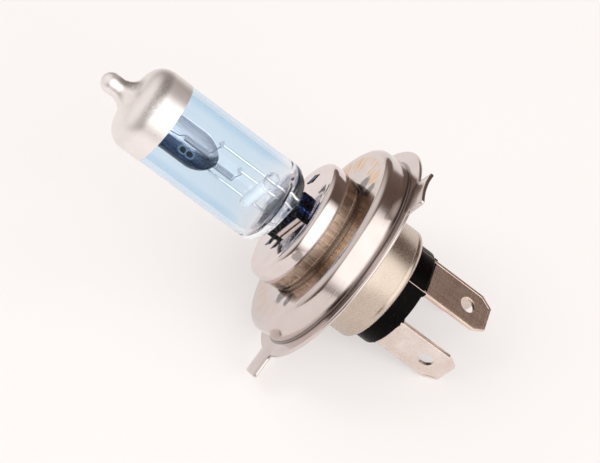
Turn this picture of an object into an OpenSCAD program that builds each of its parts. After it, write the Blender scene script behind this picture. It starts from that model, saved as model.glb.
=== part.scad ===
// Headlight bulb with two filaments and a three-tab flange.
// The bulb's axis lies along X, the glass tip at -X and the blades at +X.
// The origin is the centre of the reference plane, the front face of the flange. +Z is up,
// towards the wide reference tab and the top blade.

/* [Glass] */
// Outer diameter of the glass tube
glass_d = 15.4; // [15:0.1:16.5]
// Wall thickness of the glass tube
glass_wall = 1.1; // [0.9:0.1:1.3]
// Distance from the reference plane to the end of the glass tip
tip_reach = 50.9; // [50:0.1:53]
// Distance from the reference plane to the edge of the tip coating
coating_edge = 37.9; // [36:0.1:40]
// Width of the flat glass pinch
pinch_w = 9.6; // [9.2:0.1:10]
// Thickness of the flat glass pinch
pinch_t = 3.4; // [3:0.1:3.8]

/* [Filaments] */
// Distance from the reference plane to the near end of the low beam coil
low_start = 28.9; // [28.2:0.1:29.2]
// Length of the low beam coil
low_len = 4.8; // [4:0.1:5.5]
// Outer diameter of the low beam coil
low_d = 1.15; // [0.9:0.05:1.4]
// Distance from the reference plane to the near end of the high beam coil
high_start = 22.7; // [22:0.1:23.2]
// Length of the high beam coil
high_len = 4.2; // [3.6:0.1:4.5]
// Outer diameter of the high beam coil
high_d = 1.3; // [1:0.05:1.5]
// Diameter of the filament wire
coil_wire = 0.18; // [0.14:0.01:0.2]

/* [Mount] */
// Diameter of the support wires
wire_d = 0.52; // [0.4:0.02:0.6]
// Height of the low beam support wire above the axis
low_wire_z = 4.05; // [3.9:0.05:4.2]
// Height of the high beam support wire above the axis
high_wire_z = 1.6; // [1.4:0.05:1.8]
// Depth of the common support wire below the axis
common_wire_z = 3.05; // [2.9:0.05:3.2]
// Diameter of the quartz bridge rod
bridge_d = 2.3; // [2:0.1:2.5]
// Radius of the shield cup
shield_r = 3.6; // [3.3:0.1:3.8]
// Roll of the shield's cut-off edge about the axis, in degrees
shield_roll = 15; // [10:1:18]

/* [Ring] */
// Outer diameter of the flange
flange_d = 43; // [42.6:0.1:43.4]
// Outer diameter of the ring's pilot wall
pilot_d = 37.6; // [37:0.1:38]
// Height of the pilot above the flange's front face
pilot_h = 4.8; // [4.4:0.1:5.2]
// Sheet thickness of the ring
ring_sheet = 0.7; // [0.6:0.05:0.8]
// Reach of the reference tab from the axis
tab_reach = 25; // [24.5:0.1:26]
// Reach of the two lower tabs from the axis
side_tab_reach = 25.8; // [24.5:0.1:26]
// Width of the reference tab
tab_w = 7.2; // [6.8:0.1:8]
// Width of the two lower tabs
side_tab_w = 6; // [5.6:0.1:6.4]
// Angle from the reference tab to each lower tab
side_tab_angle = 133; // [120:1:135]

/* [Base] */
// Outer diameter of the front cap
cap_d = 23.4; // [23.2:0.1:23.8]
// Outer diameter of the focus sleeve
sleeve_d = 22.8; // [22.6:0.1:22.9]
// Outer diameter of the base shell
shell_d = 22.1; // [21.9:0.1:22.1]
// Outer diameter of the insulator's rear face
insulator_d = 19.2; // [19:0.1:19.6]

/* [Blades] */
// Width of a blade
blade_w = 7.9; // [7.7:0.1:8]
// Thickness of a blade
blade_t = 0.8; // [0.7:0.05:0.85]
// Distance from the reference plane to the blades' ends
blade_reach = 27; // [26:0.1:28]
// Distance from the axis to the outer face of the top blade
top_blade_out = 8.8; // [8.6:0.05:8.9]
// Distance from the axis to the outer face of a side blade
side_blade_out = 8.2; // [8:0.05:8.4]
// Diameter of the hole in a blade
blade_hole_d = 2.9; // [2.6:0.1:3.1]
// Distance from a blade's end to the centre of its hole
blade_hole_in = 4.6; // [4:0.1:5]

/* [Hidden] */

round_fn = 72;
wire_fn = 20;
glass_r = glass_d / 2;
glass_in_r = glass_r - glass_wall;
coating_t = 0.06;
// The tube is closed at the base end between these two places along the axis
tube_end_x = -12.2;
tube_floor_x = -14.4;
pinch_end_x = -1.5;
// Foils lie in the pinch, with the support wires ahead of them and the outer leads behind
foil_front_x = -9.2;
foil_rear_x = -3.8;
foil_w = 1.6;
foil_t = 0.08;
lead_d = 0.7;
// The leads end just inside the roots of the blades
lead_gap = lead_d / 2 + 0.02;
wire_places = [low_wire_z, high_wire_z, -common_wire_z];
foil_places = [low_wire_z - 0.35, high_wire_z - 0.55, -common_wire_z];
bridge_x = -18;
cap_face_x = -10.4;
cap_rim_x = -7.3;
cap_sheet = 0.28;
sleeve_front_x = -9.6;
sleeve_rear_x = -5.1;
shell_front_x = -6.6;
shell_rear_x = 10.1;
shell_wall = 0.45;
insulator_front_x = 6;
insulator_rear_x = 13.85;
clip_sheet = 0.3;

// Points of a circular arc in a turned profile, from angle a0 to angle a1
function arc(c, r, a0, a1, n) =
    [for (i = [0 : n]) let (a = a0 + (a1 - a0) * i / n) c + r * [cos(a), sin(a)]];

// A point on a cubic curve with end points p and s and handles q and r
function cubic(p, q, r, s, t) =
    pow(1 - t, 3) * p + 3 * pow(1 - t, 2) * t * q + 3 * (1 - t) * t * t * r + t * t * t * s;
function curve(p, q, r, s, n) = [for (i = [0 : n]) cubic(p, q, r, s, i / n)];

// Turns a profile of [radius, x] points about the bulb's axis
module turned(fn = round_fn) {
    rotate([0, 90, 0])
        rotate_extrude($fn = fn)
            children();
}

// A round rod between two points
module rod(p, q, d) {
    span = q - p;
    reach = norm(span);
    translate(p)
        rotate([0, acos(span.z / reach), atan2(span.y, span.x)])
            cylinder(d = d, h = reach, $fn = wire_fn);
}

// A round wire swept along a list of points, closed at both ends.
// square_to is a direction that the path never runs along.
module swept(path, d, sides, square_to = [0.03, 0.6, 0.8]) {
    rings = len(path);
    points = [
        for (i = [0 : rings - 1])
            let (
                ahead = path[min(i + 1, rings - 1)] - path[max(i - 1, 0)],
                t = ahead / norm(ahead),
                side = cross(t, square_to),
                n = side / norm(side),
                b = cross(t, n)
            )
            for (k = [0 : sides - 1]) path[i] + d / 2 * (cos(360 * k / sides) * n + sin(360 * k / sides) * b)
    ];
    faces = concat(
        [for (k = [1 : sides - 2]) [0, k, k + 1]],
        [for (i = [0 : rings - 2]) for (k = [0 : sides - 1])
            let (a = i * sides, b = a + sides, m = (k + 1) % sides)
            each [[a + k, b + k, b + m], [a + k, b + m, a + m]]],
        [for (k = [1 : sides - 2]) let (a = (rings - 1) * sides) [a, a + k + 1, a + k]]
    );
    polyhedron(points = points, faces = faces, convexity = 10);
}

// A block given by its lowest and highest corners
module block(low, high) {
    translate(low) cube(high - low);
}

// ---- Glass ----

// The dome, from the full tube to the end of the solid tip, as [radius, x]
neck_r = 1.75;
dome_start_x = -tip_reach + 9.7;
dome_shoulder = [4.6, -tip_reach + 5.95];
dome_neck = [neck_r, -tip_reach + 3.3];
tip_head_x = -tip_reach + neck_r;
function dome() = concat(
    curve([glass_r, dome_start_x], [glass_r, dome_start_x - 2.1], [6.5, -tip_reach + 6.3], dome_shoulder, 8),
    curve(dome_shoulder, [3, -tip_reach + 5.65], [2.1, -tip_reach + 4.9], dome_neck, 7),
    arc([0, tip_head_x], neck_r, 0, -90, 6)
);

// The dome as seen by the coating: the same curve with its rim brought back to the coating's edge
function coated() = concat([[glass_r, -coating_edge]], dome());

// Moves each point of an outline outwards by t, square to the outline
function direction(points, i) =
    let (a = points[max(i - 1, 0)], b = points[min(i + 1, len(points) - 1)], d = b - a) d / norm(d);
function outward(points, t) =
    [for (i = [0 : len(points) - 1]) let (d = direction(points, i)) points[i] + t * [-d.y, d.x]];

module glass_outer() {
    end = tube_end_x;
    turned()
        polygon(concat(
            [[0, end]],
            curve([4.2, end], [6.2, end], [glass_r, end - 0.6], [glass_r, end - 3.2], 7),
            dome()
        ));
}

module glass_cavity() {
    floor_x = tube_floor_x;
    roof_x = -tip_reach + 7.1;
    r = glass_in_r;
    turned()
        polygon(concat(
            [[0, floor_x]],
            curve([4, floor_x], [5.6, floor_x], [r, floor_x - 0.7], [r, floor_x - 2.6], 6),
            curve([r, roof_x + 2.8], [r, roof_x + 1], [5, roof_x], [3.4, roof_x], 7),
            [[0, roof_x]]
        ));
}

module pinch() {
    block([tube_end_x - 1.6, -pinch_t / 2, -pinch_w / 2], [pinch_end_x, pinch_t / 2, pinch_w / 2]);
}

module glass_envelope() {
    color([0.72, 0.86, 0.95, 0.35])
        difference() {
            union() {
                glass_outer();
                pinch();
            }
            glass_cavity();
            sealed_metal();
        }
}

module tip_coating() {
    skin = coated();
    raised = outward(skin, coating_t);
    last = len(skin) - 1;
    color([0.78, 0.76, 0.75])
        turned()
            polygon(concat(
                [for (i = [0 : last]) skin[last - i]],
                [[glass_r + coating_t, -coating_edge]],
                [for (i = [1 : last - 1]) raised[i]],
                [[0, -tip_reach - coating_t]]
            ));
}

// ---- Filaments and their mount ----

// Centre line of a coil that winds about a line parallel to X
function coil_path(x0, x1, z, d, turns, steps) =
    let (r = (d - coil_wire) / 2)
    [for (i = [0 : turns * steps])
        let (a = 360 * i / steps) [x0 + (x1 - x0) * i / (turns * steps), r * sin(a), z + r * cos(a)]];

coil_steps = 10;
coil_sides = 5;
low_turns = 13;
high_turns = 10;
low_z = 0.15;
high_z = -0.95;
low_x0 = -low_start - low_len;
high_x0 = -high_start - high_len;

module low_beam_filament() {
    color([0.55, 0.56, 0.6])
        swept(concat(
            [[low_x0 - 3, 0, low_z - 0.9], [low_x0 - 0.9, 0, low_z - 0.5], [low_x0 - 0.35, 0, low_z + 0.3]],
            coil_path(low_x0, -low_start, low_z, low_d, low_turns, coil_steps),
            [[-low_start + 0.35, 0, low_wire_z - 2.4], [-low_start + 0.55, 0, low_wire_z - wire_d / 2]]
        ), coil_wire, coil_sides, [1, 0, 0]);
}

module high_beam_filament() {
    color([0.55, 0.56, 0.6])
        swept(concat(
            [[high_x0 - 0.5, 0, -common_wire_z + wire_d / 2], [high_x0 - 0.35, 0, high_z - 0.2]],
            coil_path(high_x0, -high_start, high_z, high_d, high_turns, coil_steps),
            [[-high_start + 0.3, 0, high_wire_z - 0.9], [-high_start + 0.4, 0, high_wire_z - wire_d / 2]]
        ), coil_wire, coil_sides, [1, 0, 0]);
}

// The shield is a boat-shaped cup under the low beam coil, open at the top
shield_z = -0.35;
shield_wall = 0.22;
shield_front_x = -38.2;
shield_bow_x = -31.2;
shield_rear_x = -26.7;

module shield_form(inset) {
    r = shield_r - inset;
    bow = shield_rear_x - shield_bow_x - inset;
    turned()
        polygon(concat(
            [[0, shield_front_x + inset]],
            arc([r - 1, shield_front_x + inset + 1], 1, -90, 0, 3),
            [for (i = [0 : 8]) [r * cos(i * 90 / 8), shield_bow_x + bow * sin(i * 90 / 8)]]
        ));
}

module shield_cup() {
    color([0.62, 0.66, 0.72])
        translate([0, 0, shield_z])
            difference() {
                shield_form(0);
                shield_form(shield_wall);
                rotate([shield_roll, 0, 0]) block([shield_front_x - 1, -5, 0.3], [shield_rear_x + 1, 5, 5]);
            }
}

module support_wire_low() {
    color([0.7, 0.72, 0.75]) rod([-low_start, 0, low_wire_z], [foil_front_x, 0, low_wire_z], wire_d);
}

module support_wire_high() {
    color([0.7, 0.72, 0.75]) rod([-high_start - 0.7, 0, high_wire_z], [foil_front_x, 0, high_wire_z], wire_d);
}

// The common wire runs along the outside of the shield's keel, then bends in to the pinch
keel_gap = shield_r + wire_d / 2 + 0.02;
wire_sides = 12;
function keel(x) = [x, keel_gap * sin(shield_roll), shield_z - keel_gap * cos(shield_roll)];
function common(x) = [x, 0, -common_wire_z];
common_bend = curve(keel(-30.4), keel(-27.6), common(-25.4), common(-22.5), 8);
common_path = concat([keel(-33.4)], common_bend, [common(foil_front_x)]);

module support_wire_common() {
    color([0.7, 0.72, 0.75]) swept(common_path, wire_d, wire_sides);
}

module quartz_bridge() {
    color([0.85, 0.92, 0.97, 0.5])
        difference() {
            rod([bridge_x, 0, -4.9], [bridge_x, 0, 5.6], bridge_d);
            for (z = wire_places) rod([bridge_x - bridge_d, 0, z], [bridge_x + bridge_d, 0, z], wire_d);
        }
}

// ---- Foils and leads ----

module foil(z) {
    color([0.6, 0.62, 0.66])
        block([foil_front_x, -foil_t / 2, z - foil_w / 2], [foil_rear_x, foil_t / 2, z + foil_w / 2]);
}

module foil_low() {
    foil(foil_places[0]);
}

module foil_high() {
    foil(foil_places[1]);
}

module foil_common() {
    foil(foil_places[2]);
}

// The pockets that the wires, foils and leads fill in the pinch
module sealed_metal() {
    for (i = [0 : 2]) {
        rod([tube_floor_x - 1, 0, wire_places[i]], [foil_front_x, 0, wire_places[i]], wire_d);
        foil(foil_places[i]);
        rod([foil_rear_x, 0, foil_places[i]], [pinch_end_x + 1, 0, foil_places[i]], lead_d);
    }
}

// A lead from its foil to the root of its blade: straight out of the pinch, then outwards
module outer_lead(z, root) {
    bend = [pinch_end_x + 0.7, 0, z];
    color([0.75, 0.76, 0.78])
        swept(concat(
            [[foil_rear_x, 0, z]],
            curve(bend, bend + [2.6, 0, 0], root - [2.6, 0, 0], root, 8)
        ), lead_d, wire_sides);
}

module outer_lead_low() {
    outer_lead(foil_places[0], [5.4, 0, top_blade_out - blade_t - lead_gap]);
}

module outer_lead_high() {
    outer_lead(foil_places[1], [5.4, side_blade_out - blade_t - lead_gap, 0]);
}

module outer_lead_common() {
    outer_lead(foil_places[2], [5.4, -(side_blade_out - blade_t - lead_gap), 0]);
}

// ---- Clip and cap ----

// A sprung band around the pinch with a leaf on each broad side and four pointed ears
module pinch_clip() {
    gap = 0.05;
    half_t = pinch_t / 2 + gap;
    half_w = pinch_w / 2 + gap;
    rear = cap_face_x - 0.05;
    front = rear - 1.5;
    out_t = half_t + clip_sheet;
    out_w = half_w + clip_sheet;
    color([0.1, 0.12, 0.2]) {
        difference() {
            block([front, -out_t, -out_w], [rear, out_t, out_w]);
            block([front - 1, -half_t, -half_w], [rear + 1, half_t, half_w]);
        }
        for (side = [-1, 1]) {
            leaf(side, half_t, half_w, rear);
            for (end = [-1, 1]) ear(side, end, half_t, half_w, front);
        }
    }
}

// A leaf that stands out from the band, square to the pinch's broad face
module leaf(side, half_t, half_w, rear) {
    reach = 2.4;
    inset = 1.2;
    inner = side > 0 ? half_t : -half_t - reach;
    block([rear - clip_sheet, inner, -half_w + inset], [rear, inner + reach, half_w - inset]);
}

// A pointed ear in the plane of the band's front edge
module ear(side, end, half_t, half_w, front) {
    root = half_w + clip_sheet;
    translate([front, 0, 0])
        rotate([0, 90, 0])
            linear_extrude(height = clip_sheet)
                polygon([
                    [-end * (root - 1.2), side * half_t],
                    [-end * (root - 0.9), side * (half_t + 1.1)],
                    [-end * (root + 1.1), side * (half_t + 2.1)],
                    [-end * root, side * half_t]
                ]);
}

module front_cap() {
    r = cap_d / 2;
    rim = 0.9;
    slot_t = pinch_t / 2 + 0.4;
    slot_w = pinch_w / 2 + 0.4;
    color([0.86, 0.86, 0.87])
        difference() {
            turned()
                polygon(concat(
                    [[0, cap_face_x]],
                    arc([r - rim, cap_face_x + rim], rim, -90, 0, 8),
                    [[r, cap_rim_x], [r - cap_sheet, cap_rim_x]],
                    arc([r - rim, cap_face_x + rim], rim - cap_sheet, 0, -90, 6),
                    [[0, cap_face_x + cap_sheet]]
                ));
            block([cap_face_x - 1, -slot_t, -slot_w], [cap_rim_x, slot_t, slot_w]);
        }
}

// ---- Sleeve, ring and shell ----

module tube(outer_d, inner_d, x0, x1) {
    rotate([0, 90, 0])
        translate([0, 0, x0])
            difference() {
                cylinder(d = outer_d, h = x1 - x0, $fn = round_fn);
                translate([0, 0, -1]) cylinder(d = inner_d, h = x1 - x0 + 2, $fn = round_fn);
            }
}

module focus_sleeve() {
    color([0.6, 0.52, 0.43]) tube(sleeve_d, shell_d + 0.04, sleeve_front_x, sleeve_rear_x);
}

// Half section of the ring: the front face, the pilot wall and the flange, in one sheet
module ring_section() {
    wall_r = pilot_d / 2;
    inner_r = wall_r - ring_sheet;
    shoulder = 1.2;
    edge = ring_sheet / 2;
    hole_r = shell_d / 2 + 0.04;
    difference() {
        union() {
            translate([hole_r, -pilot_h]) square([wall_r - shoulder - hole_r, ring_sheet]);
            translate([wall_r - shoulder, -pilot_h + shoulder]) circle(r = shoulder, $fn = 48);
            translate([inner_r, -pilot_h + shoulder]) square([ring_sheet, pilot_h - shoulder]);
            translate([inner_r, 0]) square([flange_d / 2 - edge - inner_r, ring_sheet]);
            translate([flange_d / 2 - edge, edge]) circle(r = edge, $fn = 24);
        }
        translate([hole_r - 1, -pilot_h + ring_sheet]) square([inner_r - hole_r + 1, pilot_h + 2]);
    }
}

// An arched tab that stands out from the flange, its crown towards the front
module tab(angle, width, reach) {
    rise = 0.45;
    root = flange_d / 2 - 1.3;
    arch_r = width * width / (8 * rise) + rise / 2;
    rotate([angle, 0, 0])
        translate([0, 0, root])
            linear_extrude(height = reach - root)
                intersection() {
                    translate([arch_r - rise, 0])
                        difference() {
                            circle(r = arch_r, $fn = 160);
                            circle(r = arch_r - ring_sheet, $fn = 160);
                        }
                    translate([-1, -width / 2]) square([1 + ring_sheet, width]);
                }
}

module reference_ring() {
    color([0.8, 0.79, 0.78]) {
        turned(96) ring_section();
        tab(0, tab_w, tab_reach);
        for (side = [-1, 1]) tab(side * side_tab_angle, side_tab_w, side_tab_reach);
    }
}

// The barrel that the ring and the sleeve slide on, with its rear edge rolled in over the insulator
module base_shell() {
    r = shell_d / 2;
    roll = 1;
    lip_r = insulator_d / 2 + 0.05;
    color([0.74, 0.69, 0.62])
        turned(96)
            polygon(concat(
                [[r - shell_wall, shell_front_x], [r, shell_front_x]],
                arc([r - roll, shell_rear_x - roll], roll, 0, 90, 6),
                [[lip_r, shell_rear_x], [lip_r, shell_rear_x - shell_wall]],
                arc([r - roll, shell_rear_x - roll], roll - shell_wall, 90, 0, 6)
            ));
}

// ---- Insulator and blades ----

module insulator() {
    body_r = shell_d / 2 - shell_wall - 0.05;
    face_r = insulator_d / 2;
    step_x = shell_rear_x - shell_wall - 1.1;
    edge = 0.35;
    color([0.06, 0.06, 0.07])
        difference() {
            turned(96)
                polygon([
                    [0, insulator_front_x],
                    [body_r, insulator_front_x],
                    [body_r, step_x],
                    [face_r, step_x + 0.9],
                    [face_r, insulator_rear_x - edge],
                    [face_r - edge, insulator_rear_x],
                    [0, insulator_rear_x]
                ]);
            terminal_top();
            terminal_left();
            terminal_right();
        }
}

blade_root_x = 4.2;

// A flat blade in the X-Y plane, its outer face at height out
module blade(out) {
    chamfer_x = 2.3;
    chamfer_y = 1.45;
    half = blade_w / 2;
    translate([0, 0, out - blade_t])
        linear_extrude(height = blade_t)
            difference() {
                polygon([
                    [blade_root_x, -half],
                    [blade_reach - chamfer_x, -half],
                    [blade_reach, -half + chamfer_y],
                    [blade_reach, half - chamfer_y],
                    [blade_reach - chamfer_x, half],
                    [blade_root_x, half]
                ]);
                translate([blade_reach - blade_hole_in, 0]) circle(d = blade_hole_d, $fn = 40);
            }
}

module terminal_top() {
    color([0.5, 0.44, 0.38]) blade(top_blade_out);
}

module terminal_left() {
    color([0.82, 0.77, 0.73]) rotate([90, 0, 0]) blade(side_blade_out);
}

module terminal_right() {
    color([0.82, 0.77, 0.73]) rotate([-90, 0, 0]) blade(side_blade_out);
}

glass_envelope();
tip_coating();
low_beam_filament();
high_beam_filament();
shield_cup();
support_wire_low();
support_wire_high();
support_wire_common();
quartz_bridge();
foil_low();
foil_high();
foil_common();
outer_lead_low();
outer_lead_high();
outer_lead_common();
pinch_clip();
front_cap();
focus_sleeve();
reference_ring();
base_shell();
insulator();
terminal_top();
terminal_left();
terminal_right();
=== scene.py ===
"""The looks of a two-filament headlight bulb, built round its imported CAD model.

The bulb's axis is X, with the glass tip at -X and the blades at +X. +Z points to the wide tab.
Shapes are worked out in millimetres and turned into metres where a mesh is made.
"""

import math

import bmesh
import bpy
from mathutils import Matrix, Vector


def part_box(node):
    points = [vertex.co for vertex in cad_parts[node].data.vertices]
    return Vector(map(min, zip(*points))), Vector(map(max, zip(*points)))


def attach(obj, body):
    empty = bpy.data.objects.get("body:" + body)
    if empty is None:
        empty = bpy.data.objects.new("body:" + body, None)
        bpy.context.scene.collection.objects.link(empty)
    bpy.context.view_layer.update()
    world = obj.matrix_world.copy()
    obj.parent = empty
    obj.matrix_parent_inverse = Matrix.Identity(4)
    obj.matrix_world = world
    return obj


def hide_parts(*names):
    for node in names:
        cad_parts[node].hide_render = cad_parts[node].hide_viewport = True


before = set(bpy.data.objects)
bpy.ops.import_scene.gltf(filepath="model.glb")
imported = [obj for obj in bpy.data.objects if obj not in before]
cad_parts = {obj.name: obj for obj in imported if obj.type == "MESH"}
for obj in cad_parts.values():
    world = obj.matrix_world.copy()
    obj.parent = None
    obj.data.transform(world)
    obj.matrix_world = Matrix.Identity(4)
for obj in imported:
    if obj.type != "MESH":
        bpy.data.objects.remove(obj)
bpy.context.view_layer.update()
MM = 0.001


def low(node):
    """A CAD node's lowest corner, in millimetres."""
    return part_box(node)[0] / MM


def high(node):
    """A CAD node's highest corner, in millimetres."""
    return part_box(node)[1] / MM


def middle(node):
    """A CAD node's middle, in millimetres."""
    return (low(node) + high(node)) / 2


# ---- sizes, from the frame

GLASS_R = high("glass_envelope").y
GLASS_IN_R = GLASS_R - 1.1
TIP_X = low("glass_envelope").x
PINCH_END_X = high("glass_envelope").x
TUBE_END_X = PINCH_END_X - 10.7
TUBE_FLOOR_X = PINCH_END_X - 12.9
ROUNDING_X = TUBE_END_X - 3.1
PINCH_HALF_W = 4.8
PINCH_HALF_T = 1.7
COATING_EDGE_X = high("tip_coating").x
FOIL_FRONT_X = low("foil_low").x
FOIL_REAR_X = high("foil_low").x
BRIDGE_X = middle("quartz_bridge").x
BRIDGE_R = (high("quartz_bridge").x - low("quartz_bridge").x) / 2
CAP_FACE_X = low("front_cap").x
CAP_RIM_X = high("front_cap").x
CAP_R = high("front_cap").y
SLEEVE_FRONT_X = low("focus_sleeve").x
SLEEVE_REAR_X = high("focus_sleeve").x
SLEEVE_R = high("focus_sleeve").y
SHEET = high("reference_ring").x
FLANGE_R = -low("reference_ring").z
TAB_REACH = high("reference_ring").z
PILOT_R = 18.8
PILOT_X = -4.8
SHELL_R = high("base_shell").y
SHELL_FRONT_X = low("base_shell").x
SHELL_REAR_X = high("base_shell").x
INSULATOR_FRONT_X = low("insulator").x
INSULATOR_REAR_X = high("insulator").x
INSULATOR_R = 9.6
BLADE_ROOT_X = low("terminal_top").x
BLADE_END_X = high("terminal_top").x
BLADE_HALF_W = high("terminal_top").y
BLADE_T = 0.8
BLADE_CUT = 1.45
TOP_OUT = high("terminal_top").z
SIDE_OUT = -low("terminal_left").y
WIRE_R = 0.26
LOW_WIRE_Z = middle("support_wire_low").z
HIGH_WIRE_Z = middle("support_wire_high").z
COMMON_WIRE_Z = -3.05
LOW_TIP_X = low("support_wire_low").x
HIGH_TIP_X = low("support_wire_high").x
SHIELD_Z = -0.35
SHIELD_R = 3.6
SHIELD_ROLL = math.radians(15)
WELDS_X = (-32.1, -30.7)


def shield_point(x, r, angle):
    """A point of the shield: angle 0 is its keel, which is rolled away from -Y."""
    keel = Vector((0, math.sin(SHIELD_ROLL), -math.cos(SHIELD_ROLL)))
    side = Vector((0, math.cos(SHIELD_ROLL), math.sin(SHIELD_ROLL)))
    return Vector((x, 0, SHIELD_Z)) + r * (math.cos(angle) * keel + math.sin(angle) * side)


def around(x, r, degrees):
    """A point at radius r, turned from +Z towards -Y."""
    return (x, -r * math.sin(math.radians(degrees)), r * math.cos(math.radians(degrees)))


# ---- camera, light and floor

CAMERA_AZIMUTH = -112.056
CAMERA_ELEVATION = 44.327
CAMERA_ROLL = 52.435
CAMERA_AIM = Vector((-7.17, 0.58, -2.21))
CAMERA_DISTANCE = 378.7


def new_object(name, data):
    """An object that holds data, in the scene."""
    thing = bpy.data.objects.new(name, data)
    bpy.context.scene.collection.objects.link(thing)
    return thing


def turned_axes(right, up, back, place):
    """A matrix from three axes and a place."""
    rows = Matrix((right, up, back)).transposed()
    return Matrix.Translation(place) @ rows.to_4x4()


def make_camera():
    """The photograph's view: azimuth and elevation in degrees, then a roll about the line of sight."""
    data = bpy.data.cameras.new("camera")
    data.sensor_width = 36
    data.lens = 132
    data.clip_start = 0.01
    data.clip_end = 20
    camera = new_object("camera", data)
    azimuth, elevation = math.radians(CAMERA_AZIMUTH), math.radians(CAMERA_ELEVATION)
    across = math.cos(elevation)
    back = Vector((across * math.cos(azimuth), across * math.sin(azimuth), math.sin(elevation)))
    level = Vector((0, 0, 1)).cross(back).normalized()
    right = Matrix.Rotation(math.radians(CAMERA_ROLL), 3, back) @ level
    place = (CAMERA_AIM + back * CAMERA_DISTANCE) * MM
    camera.matrix_world = turned_axes(right, back.cross(right), back, place)
    bpy.context.scene.camera = camera


def make_light(name, toward, distance, width, height, power, colour):
    """A soft box that hangs in the direction toward and faces the bulb."""
    data = bpy.data.lights.new(name, "AREA")
    data.shape = "RECTANGLE"
    data.size = width
    data.size_y = height
    data.energy = power
    data.color = colour
    light = new_object(name, data)
    back = Vector(toward).normalized()
    right = Vector((1, 0, 0)) - back * back.x
    right.normalize()
    light.matrix_world = turned_axes(right, back.cross(right), back, back * distance)
    light.visible_glossy = False


# ---- material graphs

def colour4(value):
    """Adds an alpha of 1 to a colour. Anything else stays as it is."""
    return (*value, 1.0) if isinstance(value, tuple) and len(value) == 3 else value


class Graph:
    """A node graph that starts empty. Values are sockets, numbers or colours."""

    def __init__(self, owner):
        owner.use_nodes = True
        self.tree = owner.node_tree
        self.tree.nodes.clear()

    def put(self, value, socket):
        if isinstance(value, bpy.types.NodeSocket):
            self.tree.links.new(value, socket)
        else:
            socket.default_value = value

    def node(self, kind, **inputs):
        """A new node with its inputs put. An underscore stands for a space."""
        node = self.tree.nodes.new(kind)
        for name, value in inputs.items():
            self.put(colour4(value), node.inputs[name.replace("_", " ")])
        return node

    def join(self, kind, *values):
        """A new node with its inputs put in their order."""
        node = self.tree.nodes.new(kind)
        for value, socket in zip(values, node.inputs):
            self.put(value, socket)
        return node

    def vector(self, operation, *values):
        node = self.join("ShaderNodeVectorMath", *values)
        node.operation = operation
        return node.outputs["Value" if operation in ("LENGTH", "DOT_PRODUCT") else "Vector"]

    def math(self, operation, *values):
        node = self.join("ShaderNodeMath", *values)
        node.operation = operation
        return node.outputs[0]

    def times(self, product, *others):
        """The product of all the values."""
        for other in others:
            product = self.math("MULTIPLY", product, other)
        return product

    def ramp(self, value, *stops):
        """Colours or levels along value: each stop is (place, level or colour)."""
        node = self.node("ShaderNodeValToRGB", Fac=value)
        elements = node.color_ramp.elements
        while len(elements) < len(stops):
            elements.new(0.5)
        for element, (place, level) in zip(elements, stops):
            element.position = place
            element.color = colour4(level) if isinstance(level, tuple) else (level, level, level, 1)
        return node.outputs[0]

    def between(self, value, start, end, at_start=0.0, at_end=1.0):
        """Runs smoothly from at_start to at_end as value goes from start to end."""
        ends = {"From Min": start, "From Max": end, "To Min": at_start, "To Max": at_end}
        node = self.node("ShaderNodeMapRange", Value=value, **ends)
        node.interpolation_type = "SMOOTHSTEP"
        return node.outputs[0]

    def mix(self, factor, a, b):
        node = self.tree.nodes.new("ShaderNodeMix")
        node.data_type = "RGBA"
        self.put(factor, node.inputs[0])
        self.put(colour4(a), node.inputs[6])
        self.put(colour4(b), node.inputs[7])
        return node.outputs[2]


LOOKS = {}


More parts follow.
